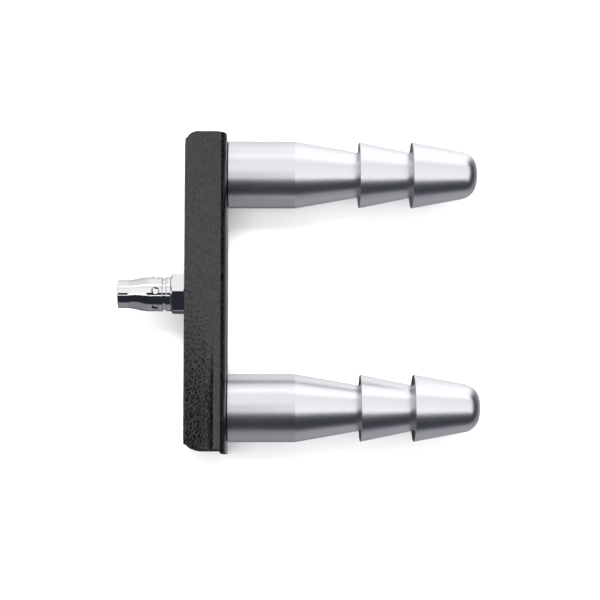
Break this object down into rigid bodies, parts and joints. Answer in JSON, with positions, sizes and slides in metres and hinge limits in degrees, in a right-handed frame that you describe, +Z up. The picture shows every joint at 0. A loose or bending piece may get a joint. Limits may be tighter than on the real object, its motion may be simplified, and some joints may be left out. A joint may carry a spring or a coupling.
{
  "type": "twin barbed-plug adapter",
  "caption": "Folded channel bar with barbed plugs on one side and a sleeve-locked quick-connect coupler on the other.",
  "frame": {"origin": "where the coupler's axis meets the web's outer face", "axes": "+X along the plugs, away from the coupler; +Y along the channel; +Z up through the channel's legs, the part lying flat"},
  "size_m": [0.1355, 0.1185, 0.036],
  "materials": {
    "black_powder_coat": "satin",
    "satin_aluminium": "satin",
    "bright_chrome": "polished",
    "zinc_steel": "satin",
    "spring_steel": "satin",
    "ball_steel": "polished",
    "brass": "satin",
    "black_rubber": "matte"
  },
  "bodies": {
    "adapter": {"channel_bracket": "black_powder_coat", "back_plate": "black_powder_coat", "stitch_welds": "black_powder_coat", "plug_upper": "satin_aluminium", "plug_lower": "satin_aluminium", "plug_screw_upper": "zinc_steel", "plug_screw_lower": "zinc_steel", "lock_washer_upper": "zinc_steel", "lock_washer_lower": "zinc_steel", "coupler_adapter": "bright_chrome", "coupler_washer": "zinc_steel", "coupler_jam_nut": "zinc_steel", "coupler_body": "bright_chrome", "snap_ring": "spring_steel", "socket_seal": "black_rubber"},
    "spring_carriage": {"sleeve_spring": "spring_steel"},
    "sleeve": {"coupler_sleeve": "bright_chrome"},
    "valve": {"valve_poppet": "brass", "valve_seal": "black_rubber", "valve_spring": "spring_steel"},
    "locking_ball_1": {"locking_ball_1": "ball_steel"},
    "locking_ball_2": {"locking_ball_2": "ball_steel"},
    "locking_ball_3": {"locking_ball_3": "ball_steel"},
    "locking_ball_4": {"locking_ball_4": "ball_steel"}
  },
  "joints": [
    {"name": "sleeve_slide", "type": "slide", "parent": "adapter", "child": "spring_carriage", "axis": [1, 0, 0], "range_m": [0, 0.00095], "stiffness_N_per_m": 2000, "springref_m": -0.002, "deforming": ["sleeve_spring"]},
    {"name": "sleeve_spin", "type": "hinge", "parent": "spring_carriage", "child": "sleeve", "pos_m": [-0.03285, 0, 0], "axis": [1, 0, 0], "continuous": true},
    {"name": "valve_slide", "type": "slide", "parent": "adapter", "child": "valve", "axis": [1, 0, 0], "range_m": [0, 0.002], "stiffness_N_per_m": 500, "springref_m": -0.002, "deforming": ["valve_spring"]},
    {"name": "ball_1_slide", "type": "slide", "parent": "adapter", "child": "locking_ball_1", "axis": [0, 1, 0], "range_m": [0, 0.00053]},
    {"name": "ball_2_slide", "type": "slide", "parent": "adapter", "child": "locking_ball_2", "axis": [0, 0, 1], "range_m": [0, 0.00053]},
    {"name": "ball_3_slide", "type": "slide", "parent": "adapter", "child": "locking_ball_3", "axis": [0, -1, 0], "range_m": [0, 0.00053]},
    {"name": "ball_4_slide", "type": "slide", "parent": "adapter", "child": "locking_ball_4", "axis": [0, 0, -1], "range_m": [0, 0.00053]}
  ],
  "couplings": [
    {"joint": "ball_1_slide", "follows": "sleeve_slide", "ratio": 0.5579},
    {"joint": "ball_2_slide", "follows": "sleeve_slide", "ratio": 0.5579},
    {"joint": "ball_3_slide", "follows": "sleeve_slide", "ratio": 0.5579},
    {"joint": "ball_4_slide", "follows": "sleeve_slide", "ratio": 0.5579}
  ]
}
